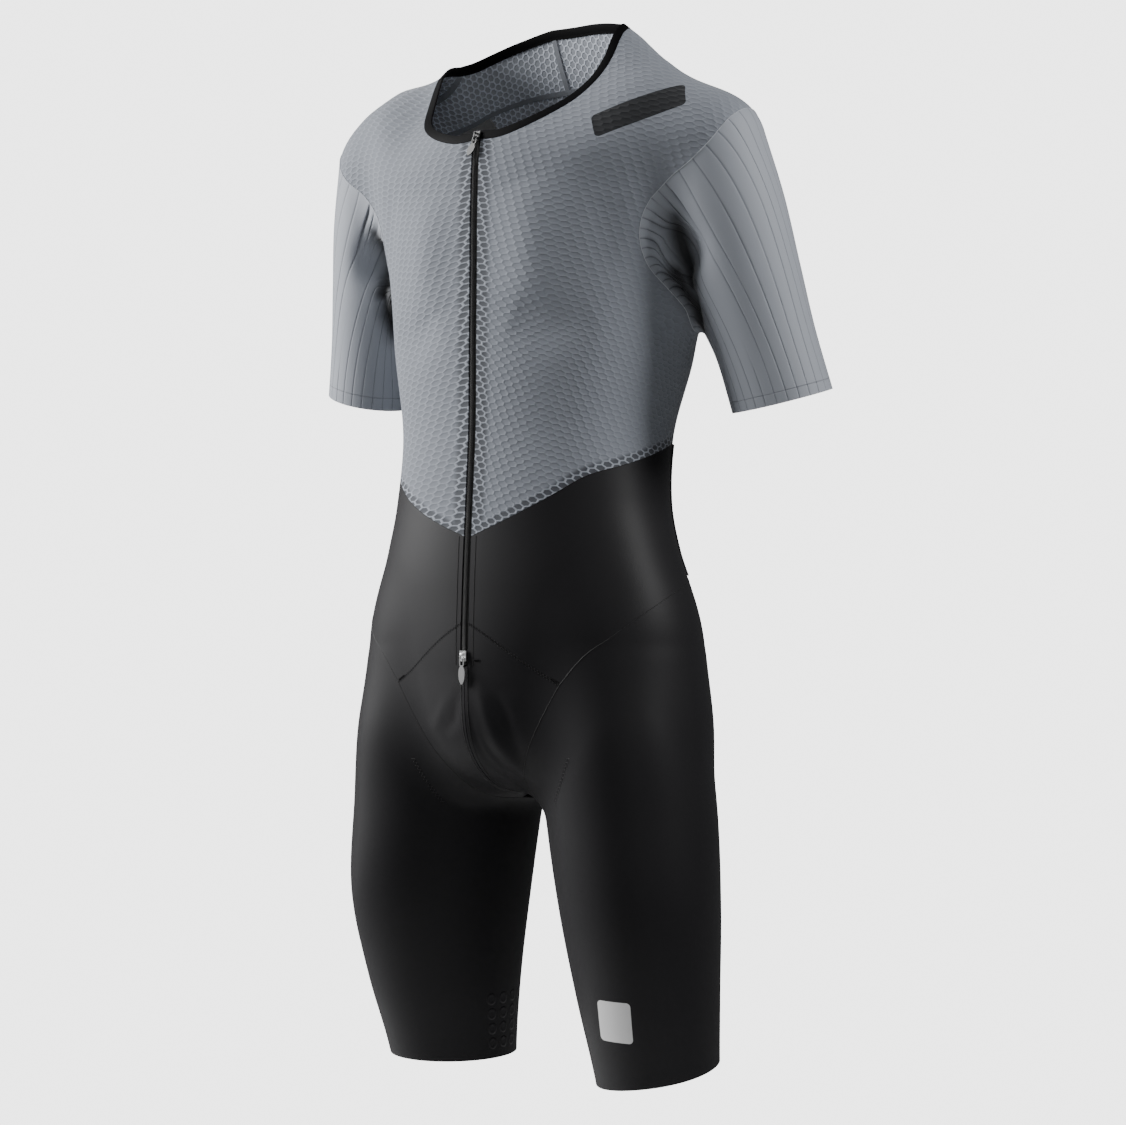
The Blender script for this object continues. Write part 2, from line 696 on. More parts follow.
def newGroup(name, inputs, outputs):
    tree = bpy.data.node_groups.new(name, "ShaderNodeTree")
    for label, kind, value in inputs:
        socket = tree.interface.new_socket(label, in_out="INPUT", socket_type="NodeSocket" + kind)
        if value is not None:
            socket.default_value = value
    for label, kind in outputs:
        tree.interface.new_socket(label, in_out="OUTPUT", socket_type="NodeSocket" + kind)
    return tree, tree.nodes.new("NodeGroupInput"), tree.nodes.new("NodeGroupOutput")


def makeHexNet():
    # The nearer of two rectangular lattices gives each point's cell. Its distance from the cell's
    # middle, measured square to the sides, is 0 at the middle and half a cell at a side.
    tree, given, out = newGroup("hexNet", (("Cells", "Vector", None), ("Line", "Float", 0.12)),
                                (("Line", "Float"), ("Rise", "Float")))
    half = 3 ** 0.5 / 2
    q = calcVector(tree, "MULTIPLY", given.outputs["Cells"], (1, half, 0))
    far = (0.5, half, 1)
    near = (-0.5, -half, -1)
    a = wrap(tree, q, far, near)
    b = wrap(tree, calcVector(tree, "SUBTRACT", q, (0.5, half, 0)), far, near)
    nearer = calc(tree, "LESS_THAN", calcVector(tree, "LENGTH", a), calcVector(tree, "LENGTH", b))
    chosen = put(tree, "Mix", {"Factor": nearer, 4: b, 5: a}, data_type="VECTOR").outputs[1]
    side = calcVector(tree, "ABSOLUTE", chosen)
    across = put(tree, "SeparateXYZ", {0: side}).outputs["X"]
    slant = calcVector(tree, "DOT_PRODUCT", side, (0.5, half, 0))
    away = calc(tree, "MAXIMUM", across, slant)
    start = calc(tree, "SUBTRACT", 0.5, calc(tree, "MULTIPLY", given.outputs["Line"], 1.5))
    end = calc(tree, "SUBTRACT", 0.5, calc(tree, "MULTIPLY", given.outputs["Line"], 0.5))
    line = step(tree, away, start, end)
    rise = calc(tree, "POWER", calc(tree, "MULTIPLY", away, 2), 3)
    tree.links.new(line, out.inputs["Line"])
    tree.links.new(rise, out.inputs["Rise"])
    return tree


def makeKnit():
    # fine loops: noise at the size of a stitch, plus a broad mottle
    tree, given, out = newGroup("knit", (("Stitch", "Float", 900.0), ("Mottle", "Float", 12.0)),
                                (("Height", "Float"), ("Shade", "Float")))
    at = put(tree, "TexCoord").outputs["Object"]
    loops = put(tree, "TexNoise", {"Vector": at, "Scale": given.outputs["Stitch"], "Detail": 2.0}).outputs[0]
    broad = put(tree, "TexNoise", {"Vector": at, "Scale": given.outputs["Mottle"], "Detail": 3.0}).outputs[0]
    tree.links.new(loops, out.inputs["Height"])
    tree.links.new(broad, out.inputs["Shade"])
    return tree


def makePatch():
    # Distance outside a rectangle with rounded corners: the length of what sticks out past its core
    tree, given, out = newGroup("roundedPatch", (("At", "Vector", None), ("Half", "Vector", None),
                                                 ("Corner", "Float", 0.003)), (("Mask", "Float"),))
    side = calcVector(tree, "ABSOLUTE", given.outputs["At"])
    beyond = calcVector(tree, "MAXIMUM", calcVector(tree, "SUBTRACT", side, given.outputs["Half"]), (0, 0, 0))
    away = calc(tree, "SUBTRACT", calcVector(tree, "LENGTH", beyond), given.outputs["Corner"])
    mask = calc(tree, "SUBTRACT", 1, step(tree, away, -0.2 * mm, 0.2 * mm))
    tree.links.new(mask, out.inputs["Mask"])
    return tree


hexNet = makeHexNet()
knit = makeKnit()
roundedPatch = makePatch()
print("node groups made")


def useGroup(tree, group, inputs):
    node = tree.nodes.new("ShaderNodeGroup")
    node.node_tree = group
    feed(tree, node, inputs)
    return node.outputs


def newMaterial(name, rough=0.6, metal=0.0, sheen=0.0, sheenRough=0.4, specular=0.5):
    made = bpy.data.materials.new(name)
    made.use_nodes = True
    tree = made.node_tree
    shader = tree.nodes["Principled BSDF"]
    shader.inputs["Roughness"].default_value = rough
    shader.inputs["Metallic"].default_value = metal
    shader.inputs["Sheen Weight"].default_value = sheen
    shader.inputs["Sheen Roughness"].default_value = sheenRough
    shader.inputs["Specular IOR Level"].default_value = specular
    return made, tree, shader


def bump(tree, shader, height, distance, before=None):
    inputs = {"Height": height, "Distance": distance, "Strength": 1.0}
    if before is not None:
        inputs["Normal"] = before
    normal = put(tree, "Bump", inputs).outputs["Normal"]
    tree.links.new(normal, shader.inputs["Normal"])
    return normal


def readValue(tree, name, output="Fac"):
    return put(tree, "Attribute", attribute_name=name).outputs[output]


def patchMask(tree, spec, axis):
    # the patch's mask, and the place measured from its middle and turned with it
    moved = calcVector(tree, "SUBTRACT", put(tree, "TexCoord").outputs["Object"], spec["middle"])
    turned = put(tree, "VectorRotate", {"Vector": moved, "Angle": radians(spec["turn"])},
                 rotation_type=axis).outputs[0]
    flatAt = calcVector(tree, "MULTIPLY", turned, (1, 0, 1))
    mask = useGroup(tree, roundedPatch, {"At": flatAt, "Half": spec["half"], "Corner": spec["corner"]})["Mask"]
    return mask, turned


def darken(tree, colour):
    # nearly black where cloth lies against cloth
    return blendColour(tree, calc(tree, "MULTIPLY", readValue(tree, "shade"), 0.97), colour, grey(0.003))


netLook = {
    "cloth": 0.29,          # reflectance of the cells
    "tint": 0.07,
    "line": 0.10,           # half a thread, as a part of a cell
    "relief": 0.5 * mm,
    "hole": 0.10,           # where the cells are see-through
    "thread": 0.40,
    "bandWide": 13 * mm,    # the see-through cells beside zip and seam
    "seamWide": 8 * mm,
}


def makeNet(name, open, banded, patchAt=None):
    # sunk cells between raised threads; open, 0 to 1, says how much the cells are seen through
    made, tree, shader = newMaterial(name, rough=0.75, sheen=0.2, specular=0.2)
    cells = useGroup(tree, hexNet, {"Cells": readValue(tree, "cells", "Vector"), "Line": netLook["line"]})
    grain = useGroup(tree, knit, {"Stitch": 1400.0, "Mottle": 9.0})
    plain = blendColour(tree, grain["Shade"], grey(netLook["cloth"] * 0.95, netLook["tint"]),
                        grey(netLook["cloth"] * 1.05, netLook["tint"]))
    part = open
    if banded:
        for distance, wide, fade in (("fromZip", netLook["bandWide"], 1.4),
                                     ("fromSeam", netLook["seamWide"], 1.3)):
            beyond = step(tree, readValue(tree, distance), wide * 0.7, wide * fade)
            part = calc(tree, "MAXIMUM", calc(tree, "SUBTRACT", 1, beyond), part)
    hole = blendColour(tree, part, plain, grey(netLook["hole"], netLook["tint"]))
    thread = blendColour(tree, part, plain, grey(netLook["thread"], netLook["tint"]))
    colour = blendColour(tree, cells["Line"], hole, thread)
    if patchAt:
        mask = patchMask(tree, patchAt, "Y_AXIS")[0]
        colour = blendColour(tree, calc(tree, "MULTIPLY", mask, 0.94), colour, grey(0.015, 0.03))
    if banded:
        colour = darken(tree, colour)
    tree.links.new(colour, shader.inputs["Base Color"])
    first = bump(tree, shader, cells["Rise"], netLook["relief"])
    bump(tree, shader, grain["Height"], 0.05 * mm, first)
    return made


def makeInside(name, cloth, hole):
    # the wrong side of the net: pale threads round darker cells
    made, tree, shader = newMaterial(name, rough=0.8, sheen=0.1, specular=0.2)
    cells = useGroup(tree, hexNet, {"Cells": readValue(tree, "insideCells", "Vector"), "Line": 0.11})
    colour = blendColour(tree, cells["Line"], grey(hole, 0.06), grey(cloth, 0.06))
    tree.links.new(colour, shader.inputs["Base Color"])
    bump(tree, shader, cells["Line"], 0.6 * mm)
    return made


lycraLook = {"cloth": 0.011, "rough": 0.52, "sheen": 0.06, "specular": 0.20}


def makeLycra(name, dots=False, tab=None):
    made, tree, shader = newMaterial(name, rough=lycraLook["rough"], sheen=lycraLook["sheen"],
                                     sheenRough=0.5, specular=lycraLook["specular"])
    grain = useGroup(tree, knit, {"Stitch": 1100.0, "Mottle": 7.0})
    colour = blendColour(tree, grain["Shade"], black(lycraLook["cloth"] * 0.85),
                         black(lycraLook["cloth"] * 1.15))
    first = bump(tree, shader, grain["Height"], 0.06 * mm)
    if dots:
        cells = calcVector(tree, "MULTIPLY", readValue(tree, "dotCells", "Vector"), (1, 1, 0))
        ring = useGroup(tree, dotRing, {"Cells": cells})["Height"]
        zone = readValue(tree, "dotZone")
        raised = calc(tree, "MULTIPLY", ring, zone)
        colour = blendColour(tree, calc(tree, "MULTIPLY", raised, 0.35), colour, black(0.022))
        first = bump(tree, shader, raised, 0.6 * mm, first)
    if tab:
        mask, turned = patchMask(tree, tab, "Z_AXIS")
        # only on the front of the leg
        front = step(tree, put(tree, "SeparateXYZ", {0: turned}).outputs["Y"], 0, -2 * mm)
        mask = calc(tree, "MULTIPLY", mask, front)
        colour = blendColour(tree, mask, colour, grey(0.80, 0.0))
    tree.links.new(colour, shader.inputs["Base Color"])
    return made


def makeDotRing():
    # an upright oval disc at every whole number of cells, with a rim a little prouder than its middle
    tree, given, out = newGroup("dotRing", (("Cells", "Vector", None),), (("Height", "Float"),))
    q = wrap(tree, given.outputs["Cells"], (0.5, 0.5, 1), (-0.5, -0.5, -1))
    away = calcVector(tree, "LENGTH", calcVector(tree, "MULTIPLY", q, (1, 0.95, 0)))
    disc = calc(tree, "SUBTRACT", 1, step(tree, away, 0.29, 0.40))
    dip = calc(tree, "MULTIPLY", calc(tree, "SUBTRACT", 1, step(tree, away, 0.12, 0.29)), 0.4)
    tree.links.new(calc(tree, "SUBTRACT", disc, dip), out.inputs["Height"])
    return tree


dotRing = makeDotRing()


ribLook = {
    "cloth": (0.36, 0.39),
    "groove": 0.12,
    "grooveShare": 0.6,
    "hem": 10 * mm,                     # the hem's stitch line, from the edge
    "stitchHalf": (0.2 * mm, 0.7 * mm),
    "stitchShare": 0.3,
}


def makeRib(name):
    made, tree, shader = newMaterial(name, rough=0.6, sheen=0.3, specular=0.3)
    grain = useGroup(tree, knit, {"Stitch": 1500.0, "Mottle": 8.0})
    groove = readValue(tree, "groove")
    hem = readValue(tree, "fromHem")
    fromStitch = calc(tree, "ABSOLUTE", calc(tree, "SUBTRACT", hem, ribLook["hem"]))
    stitch = calc(tree, "SUBTRACT", 1, step(tree, fromStitch, *ribLook["stitchHalf"]))
    plain = blendColour(tree, grain["Shade"], *(grey(value, 0.06) for value in ribLook["cloth"]))
    colour = blendColour(tree, calc(tree, "MULTIPLY", groove, ribLook["grooveShare"]), plain,
                         grey(ribLook["groove"], 0.08))
    colour = blendColour(tree, calc(tree, "MULTIPLY", stitch, ribLook["stitchShare"]), colour, grey(0.06, 0.08))
    colour = darken(tree, colour)
    tree.links.new(colour, shader.inputs["Base Color"])
    first = bump(tree, shader, grain["Height"], 0.05 * mm)
    bump(tree, shader, calc(tree, "SUBTRACT", 1, stitch), 0.3 * mm, first)
    return made


def makePlain(name, colour, rough, relief=0.08, stitch=900.0, metal=0.0, specular=0.4):
    # a plain finish with a grain, whose relief is in millimetres
    made, tree, shader = newMaterial(name, rough=rough, metal=metal, specular=specular)
    grain = useGroup(tree, knit, {"Stitch": stitch, "Mottle": 15.0})
    low = tuple(c * 0.88 for c in colour[:3]) + (1,)
    high = tuple(min(1, c * 1.12) for c in colour[:3]) + (1,)
    tree.links.new(blendColour(tree, grain["Shade"], low, high), shader.inputs["Base Color"])
    bump(tree, shader, grain["Height"], relief * mm)
    return made


chestPatch = {"middle": (0.1485, 0, -0.094), "turn": 20, "half": (0.034, 0.01, 0.007), "corner": 0.004}
thighTab = {"middle": (0.104, 0.015, -0.890), "turn": -20, "half": (0.012, 0.01, 0.015), "corner": 0.004}
looks = {
    "netLeft": makeNet("netLeft", 0.06, True, chestPatch),
    "netRight": makeNet("netRight", 0.25, True),
    "netBack": makeNet("netBack", 0.06, False),
    "netInside": makeInside("netInside", 0.75, 0.40),
    "lycra": makeLycra("lycra"),
    "lycraLegLeft": makeLycra("lycraLegLeft", dots=True, tab=thighTab),
    "lycraLegRight": makeLycra("lycraLegRight", dots=True),
    "lycraInside": makePlain("lycraInside", grey(0.016), 0.7),
    "rib": makeRib("rib"),
    "ribInside": makePlain("ribInside", grey(0.16, 0.06), 0.8),
    "trim": makePlain("trim", black(0.004), 0.65, relief=0.12, specular=0.06),
    "seamGrey": makePlain("seamGrey", grey(0.26, 0.06), 0.7, relief=0.15, stitch=1200.0),
    "melange": makePlain("melange", grey(0.30), 0.8, relief=0.2, stitch=420.0),
    "tape": makePlain("tape", grey(0.010), 0.6, relief=0.15, stitch=1400.0),
    "coil": makePlain("coil", grey(0.014), 0.32, relief=0.02, specular=0.5),
    "threadDark": makePlain("threadDark", grey(0.02), 0.6, relief=0.05, stitch=2000.0),
    "threadMid": makePlain("threadMid", grey(0.07), 0.6, relief=0.05, stitch=2000.0),
    "threadGrey": makePlain("threadGrey", grey(0.50, 0.04), 0.6, relief=0.05, stitch=2000.0),
    "silver": makePlain("silver", grey(0.85), 0.34, relief=0.01, stitch=300.0, metal=1.0),
    "darkSilver": makePlain("darkSilver", grey(0.08), 0.38, relief=0.01, stitch=300.0, metal=1.0),
}
print("materials made:", len(looks))


# Panels

s = makeSeams()
print("seams settled on the form")


def addCloth(name, grid, outside, inside, slot, node, mirrored=False, closed=False, values=None):
    # the outer face lies on the form, the wall inside it
    normals = outward(grid)
    drawn = pullIn(grid, normals, closed)
    outer = worn(drawn, normals, mirrored)
    inner = worn(drawn - normals * wallThick, normals, mirrored, drawn)
    finish(wall(name, outer, inner, closed, values), (outside, inside), slot, node)


def finish(piece, names, slot, *nodes):
    for name in names:
        piece.data.materials.append(looks[name])
    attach(piece, "suit")
    if nodes:
        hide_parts(*nodes)


def asVector(u, v):
    return np.stack([u, v, np.zeros_like(u)], axis=-1)


def netCells(cut, lattice, height=None):
    # Cells stand in columns. Their number within a column comes first, then the column's.
    # Columns widen with height, and lean by so much across for each step down.
    wide, top = lattice["wide"]
    if height is not None:
        low, high = lattice["from"]
        wide = wide + (top - wide) * ease((height - low) / (high - low))
    u, v = cut[..., 0], cut[..., 1]
    return asVector((v + lattice["slope"] * u) / lattice["high"], (u + lattice["lean"] * v) / wide)


# lattices of the net: a column's width at the low and the high end of the heights in from, a cell's height
front = {
    "Left": {"wide": (7.0 * mm, 9.3 * mm), "from": (-0.33, -0.21), "high": 5.4 * mm, "lean": 0.33,
             "slope": 0.06},
    "Right": {"wide": (11.0 * mm, 12.0 * mm), "from": (-0.33, -0.21), "high": 5.4 * mm, "lean": 0.45,
              "slope": 0.06},
    "inside": {"wide": (5.6 * mm, 5.6 * mm), "high": 7.2 * mm, "lean": 0.1, "slope": 0.05},
}


def addFronts():
    left = join(s["centreTop"], s["neckFront"])
    right = join(s["sideTop"], s["holePleated"], s["holeFront"])
    grid = patch(s["veeFront"], s["shoulder"], left, right)
    cut = layFlat(grid, "frontLeft", "frontRight")
    values = {
        "insideCells": netCells(cut, front["inside"]),
        "fromZip": distanceTo(grid, s["centreTop"]),
        "fromSeam": distanceTo(grid, s["veeFront"]),
        "shade": shadeAt(grid),
    }
    for side, mirrored in sides:
        values["cells"] = netCells(cut, front[side], grid[..., 2])
        addCloth("front" + side, grid, "net" + side, "netInside", "grey_mesh", "front_" + side.lower(),
                 mirrored, values=values)


back = {
    "outside": {"wide": (8.8 * mm, 8.8 * mm), "high": 5.8 * mm, "lean": 0.0, "slope": 0.0},
    "inside": {"wide": (5.6 * mm, 5.6 * mm), "high": 7.2 * mm, "lean": 0.0, "slope": 0.0},
}


def backValues(cut):
    return {"cells": netCells(cut, back["outside"]), "insideCells": netCells(cut, back["inside"])}


def addYokes():
    grid = patch(s["yokeFine"], join(s["neckBack"][::-1], s["shoulder"]), s["centreBack"][::-1],
                 s["holeYoke"][::-1])
    cut = layFlat(grid, "yokeLeft", "yokeRight")
    for side, mirrored in sides:
        addCloth("yoke" + side, grid, "netBack", "netInside", "grey_mesh", "yoke_" + side.lower(), mirrored,
                 values=backValues(cut))


backBulge = 60 * mm     # how far the ruled back starts outside the form that it settles on


def makeBackGrid():
    side = join(s["sideTop"], s["holeBack"][::-1])
    grid = patch(join(mirror(s["veeBack"]), s["veeBack"][::-1]), join(mirror(s["yoke"][::-1]), s["yoke"]),
                 mirror(side), side, backBulge)
    return grid[:, ::-1]


def addBack(grid):
    cut = layFlat(grid, "backCloth")
    addCloth("backCloth", grid, "netBack", "netInside", "grey_mesh", "back", values=backValues(cut))


def addLower():
    waist = patch(join(s["diagonal"], s["hip"]), s["veeFront"], s["centreMid"][::-1], s["sideLow"][::-1])
    edge = through((s["centreLow"][-1], s["legFront"][-1]), np.linspace(0, 1, 4 * fine + 1))
    crotch = patch(edge, s["diagonal"], s["centreLow"][::-1], s["legFront"][::-1])
    for name, grid in (("waist", waist), ("crotch", crotch)):
        layFlat(grid, name + "Left", name + "Right")
        for side, mirrored in sides:
            addCloth(name + side, grid, "lycra", "lycraInside", "black_lycra", name + "_" + side.lower(),
                     mirrored)
    side = join(s["legBack"], s["sideLow"][::-1])
    bottom = through((s["legBack"][0], mirror(s["legBack"][0])), np.linspace(0, 1, 16 * fine + 1))
    seat = patch(bottom, join(s["veeBack"], mirror(s["veeBack"])[::-1]), side, mirror(side))
    layFlat(seat, "seatCloth")
    addCloth("seatCloth", seat, "lycra", "lycraInside", "black_lycra", "seat")
    return seat


leg = {
    "rows": 84,
    "startAngle": radians(-100),
    # height, tilt across, tilt in depth
    "hems": {"Left": (-0.9485, 0.156, 0.126), "Right": (-0.958, 0.0, 0.0)},
    "dotPitch": (15 * mm, 14.7 * mm),
    "dotLowest": {"Left": -0.934, "Right": -0.943},
    "dotRows": 4,
    "dotAngles": (14, 197),     # from the outer side round the back to the inner side
    "dotRadius": 62 * mm,       # the hem's, for their spacing round it
    "dotFade": (0.02, 0.1),     # the field's soft edge, in radians and in rows
    "wrap": radians(60),        # the turn starts at the front, away from the dots
}


def addLeg(side, mirrored):
    ring = join(s["hip"], s["legBack"][::-1], s["legFront"][::-1])[:-1]
    height, acrossTilt, depthTilt = leg["hems"][side]
    count = len(ring)
    angle = leg["startAngle"] + 2 * pi * np.arange(count) / count
    table = body["leg"]
    centre = np.array((curve(table, 1, height), curve(table, 2, height)))
    radius = curve(table, 3, height)
    bottom = np.column_stack([centre[0] + radius * np.cos(angle), centre[1] + radius * np.sin(angle),
                              np.full(count, height)])
    bottom[:, 2] += acrossTilt * (bottom[:, 0] - centre[0]) + depthTilt * (bottom[:, 1] - centre[1])
    t = np.linspace(0, 1, leg["rows"] + 1)[:, None, None]
    grid = ontoBody(ring[None] * (1 - t) + bottom[None] * t)
    grid[0] = ring
    grid[-1, :, 2] = bottom[:, 2]
    grid = grid[::-1]
    name = "leg" + side
    layFlat(np.concatenate([grid, grid[:, :1]], axis=1)[::4, ::3], name)
    x, y, z = (grid[..., axis] for axis in range(3))
    turn = np.arctan2(y - curve(table, 2, z), x - curve(table, 1, z))
    turn = np.mod(turn + leg["wrap"], 2 * pi) - leg["wrap"]
    first, last = (radians(angle) for angle in leg["dotAngles"])
    wide, high = leg["dotPitch"]
    cells = asVector((turn - last) * leg["dotRadius"] / wide - 0.5, (z - leg["dotLowest"][side]) / high)
    fade, rowFade = leg["dotFade"]
    zone = ease((turn - first) / fade) * ease((last - turn) / fade)
    zone = zone * ease((cells[..., 1] + 0.5) / rowFade) * ease((leg["dotRows"] - 0.5 - cells[..., 1]) / rowFade)
    addCloth(name, grid, "lycraLeg" + side, "lycraInside", "black_lycra", "leg_" + side.lower(), mirrored,
             closed=True, values={"dotCells": cells, "dotZone": zone})


sleeve = {
    "rows": 84,
    "rowPower": 1.15,
    "ribAt": (0, 0.04, 0.09, 0.20, 0.34, 0.45, 0.50, 0.55, 0.66, 0.80, 0.91, 0.96),    # columns within a rib
    "ribHeight": 0.2 * mm,
    "grooveDepth": 0.15 * mm,
    "grooveWide": 0.035,
    "square": 0.7,              # how strongly the lines leave the seam square to it
    "between": 1.5 * mm,        # depth of the extra fold in the middle of a pleated rib
    "pleatRibs": 9,
    "pleatDepth": 3.0 * mm,
    "pleatPeak": 0.10,
    "pleatEnd": 0.42,
    "pleatShare": (0.7, 1.0, 0.8, 1.15, 0.9, 0.7, 1.1, 0.95, 0.8, 1.0),
    "foldLine": (0.06, 0.20),   # the line in a fold's middle fades between these parts of the length
}


def addSleeve(side, mirrored):
    # Ribs run from the armhole to the cuff, with a groove at each edge, and pleats where the hole is gathered.
    # Each line is a cubic that leaves the seam square to it and ends along the arm.
    ringParts = []
    ribAt = np.array(sleeve["ribAt"])
    for key in holeSeams:
        steps = seams["steps"][key]
        at = ((np.arange(steps)[:, None] + ribAt[None]) / steps).ravel()
        ringParts.append(ontoBody(through(np.array(seams[key], float) * mm, at)))
    ring = np.vstack(ringParts)
    ribs = sum(seams["steps"][key] for key in holeSeams)
    count = len(ring)
    place = (np.arange(ribs)[:, None] + ribAt[None]).ravel()
    inRib = np.tile(ribAt, ribs)
    inward = np.array((-1.0, 0, 0))
    inward = unit(inward - armAxis * (inward @ armAxis))
    forward = np.cross(armAxis, inward)
    forward *= -np.sign(forward[1])
    angle = 2 * pi * place / ribs
    radius = curve(body["arm"], 1, armLong)
    cuff = body["armCuff"] + radius * (np.cos(angle)[:, None] * inward + np.sin(angle)[:, None] * forward)
    raised, acrossTilt, depthTilt = body["cuffs"][side]
    cuff[:, 2] += raised + acrossTilt * (cuff[:, 0] - body["armCuff"][0])
    cuff[:, 2] += depthTilt * (cuff[:, 1] - body["armCuff"][1])
    along = np.linspace(0, 1, sleeve["rows"] + 1) ** sleeve["rowPower"]
    t = along[:, None, None]
    across = unit(np.cross(np.roll(ring, -1, axis=0) - np.roll(ring, 1, axis=0), outward(ring)))
    across *= np.sign(np.sum(across * (cuff - ring)))
    reach = np.linalg.norm(cuff - ring, axis=1, keepdims=True)
    start = across * reach * sleeve["square"]
    end = armAxis * reach
    grid = ontoBody(ring * (1 + 2 * t) * (1 - t) ** 2 + start * t * (1 - t) ** 2
                    + cuff * t * t * (3 - 2 * t) + end * t * t * (t - 1))
    grid[0] = ring
    normals = outward(grid)
    toGroove = np.minimum(inRib, 1 - inRib)
    groove = np.exp(-(toGroove / sleeve["grooveWide"]) ** 2)
    halfway = np.exp(-((inRib - 0.5) / sleeve["grooveWide"]) ** 2)
    rise = sleeve["ribHeight"] * (1 - groove) - sleeve["grooveDepth"] * groove
    crest = np.sin(pi * inRib) ** 0.8
    pleated = place <= sleeve["pleatRibs"]
    share = np.array(sleeve["pleatShare"])[np.clip(np.round(place).astype(int), 0, sleeve["pleatRibs"])]
    gather = ease(along / sleeve["pleatPeak"])
    gather = gather * (1 - ease((along - sleeve["pleatPeak"]) / (sleeve["pleatEnd"] - sleeve["pleatPeak"])))
    fold = np.outer(gather, (crest - 1) * pleated * share) * sleeve["pleatDepth"]
    fold -= np.outer(gather, halfway * pleated) * sleeve["between"]
    drawn = pullIn(grid, normals, closed=True)
    middle = drawn + normals * fold[..., None]
    outer = worn(middle + normals * rise[None, :, None], normals, mirrored, grid)
    inner = worn(middle - normals * wallThick, normals, mirrored, grid)
    fromHem = np.linalg.norm(np.diff(grid, axis=0), axis=2)
    fromHem = np.vstack([np.cumsum(fromHem[::-1], axis=0)[::-1], np.zeros((1, count))])
    first, last = sleeve["foldLine"]
    early = 1 - ease((along - first) / (last - first))
    values = {"groove": np.maximum(np.tile(groove, (len(along), 1)), np.outer(early, halfway * pleated)),
              "fromHem": fromHem, "shade": shadeAt(grid)}
    name = "sleeve" + side
    layFlat(np.concatenate([grid, grid[:, :1]], axis=1)[::4, ::4], name)
    finish(wall(name, outer, inner, True, values), ("rib", "ribInside"), "grey_rib", "sleeve_" + side.lower())


addFronts()
print("fronts made")
addYokes()
backGrid = makeBackGrid()
addBack(backGrid)
print("back and yokes made")
seatGrid = addLower()
print("waist, crotch and seat made")
for side, mirrored in sides:
    addLeg(side, mirrored)
print("legs made")
for side, mirrored in sides:
    addSleeve(side, mirrored)
print("sleeves made")


# Layers on the panels

layers = {
    "gap": 0.5 * mm,
    "innerGap": 0.85 * mm,
    "thick": 1.2 * mm,
    "margin": 2.5 * mm,         # the pockets' edges stand in by this much
    # the rows and columns of the CAD's grids that the pockets cover
    "pocketRows": 7,
    "pocketColumns": 16,
    "innerRows": (10, 15),
    "innerColumns": (11, 14),
    "bandPart": 0.4,            # of one row
}


def addLayer(name, node, grid, rows, columns, look, slot, inside=False):
    part = grid[rows[0]:rows[1] + 1, columns[0]:columns[1] + 1]
    normals = outward(part)
    drawn = part.copy()
    for line, inner in ((0, 1), (-1, -2)):
        drawn[line] += layers["margin"] * unit(part[inner] - part[line])
        drawn[:, line] += layers["margin"] * unit(part[:, inner] - part[:, line])
    for line in (0, -1):        # the points next to a drawn-in edge keep their order
        drawn[(1, -2)[line]] = drawn[line] * 0.5 + drawn[(2, -3)[line]] * 0.5
        drawn[:, (1, -2)[line]] = drawn[:, line] * 0.5 + drawn[:, (2, -3)[line]] * 0.5
    if inside:
        low = drawn - normals * (wallThick + layers["innerGap"] + layers["thick"])
    else:
        low = drawn + normals * layers["gap"]
    outer = worn(low + normals * layers["thick"], normals, False, drawn)
    inner = worn(low, normals, False, drawn)
    finish(wall(name, outer, inner), (look, look), slot, node)
    layFlat(drawn, name)


seatTop = len(seatGrid) - 1
addLayer("backPocket", "back_pocket", seatGrid, (seatTop - layers["pocketRows"] * fine, seatTop),
         (0, layers["pocketColumns"] * fine), "lycra", "black_lycra")
first, last = (row * fine for row in layers["innerRows"])
columns = tuple(column * fine for column in layers["innerColumns"])
split = last - round(layers["bandPart"] * fine)
addLayer("innerPocket", "inner_pocket", backGrid, (first, split), columns, "trim", "black_trim", inside=True)
addLayer("innerPocketBand", "inner_pocket_band", backGrid, (split, last), columns, "melange", "grey_melange",
         inside=True)
print("pockets made")


# Neck binding

binding = {"rise": 0.5 * mm, "rows": 8, "cut": 10.5 * mm}      # cut: the width before its edges are turned in


def addBinding():
    # a band swept round the neck, its face a flat arch: rise times sin to the power 0.4 across it
    edge = join(s["edgeFront"], s["edgeBack"])
    lower = join(s["neckFront"], s["neckBack"])
    edge[-1, 0] = 0
    edge = join(edge, mirror(edge[::-1]))
    lower = join(lower, mirror(lower[::-1]))
    t = np.linspace(0, 1, binding["rows"] + 1)[:, None, None]
    grid = ontoBody(lower[None] * (1 - t) + edge[None] * t)
    normals = outward(grid)
    drawn = grid.copy()
    drawn[0] += edgeShift(grid[0], grid[1], normals[0])
    drawn[:, 0] += edgeShift(grid[:, 0], grid[:, 1], normals[:, 0])
    drawn[:, -1] += edgeShift(grid[:, -1], grid[:, -2], normals[:, -1])
    across = np.linspace(0, 1, binding["rows"] + 1)
    rise = binding["rise"] * (0.2 + 0.8 * np.sin(pi * np.clip(across, 0.02, 0.98)) ** 0.4)[:, None, None]
    outer = worn(drawn + normals * rise, normals, False, drawn)
    inner = worn(drawn - normals * (wallThick + rise), normals, False, drawn)
    finish(wall("neckBinding", outer, inner), ("trim", "trim"), "black_trim", "neck_binding")


addBinding()
print("neck binding made")


# Zip

zipLook = {
    "top": -100 * mm,
    "half": 2.244 * mm,
    "pitch": 1.5 * mm,
    "wire": 0.42 * mm,      # a tooth's radius
    "rise": 0.7 * mm,
    # a tooth's course: across, from the tape over the middle line, and out
    "course": ((-1, 0.1), (-0.97, 0.62), (-0.55, 0.92), (0.05, 0.85), (0.42, 0.35)),
}


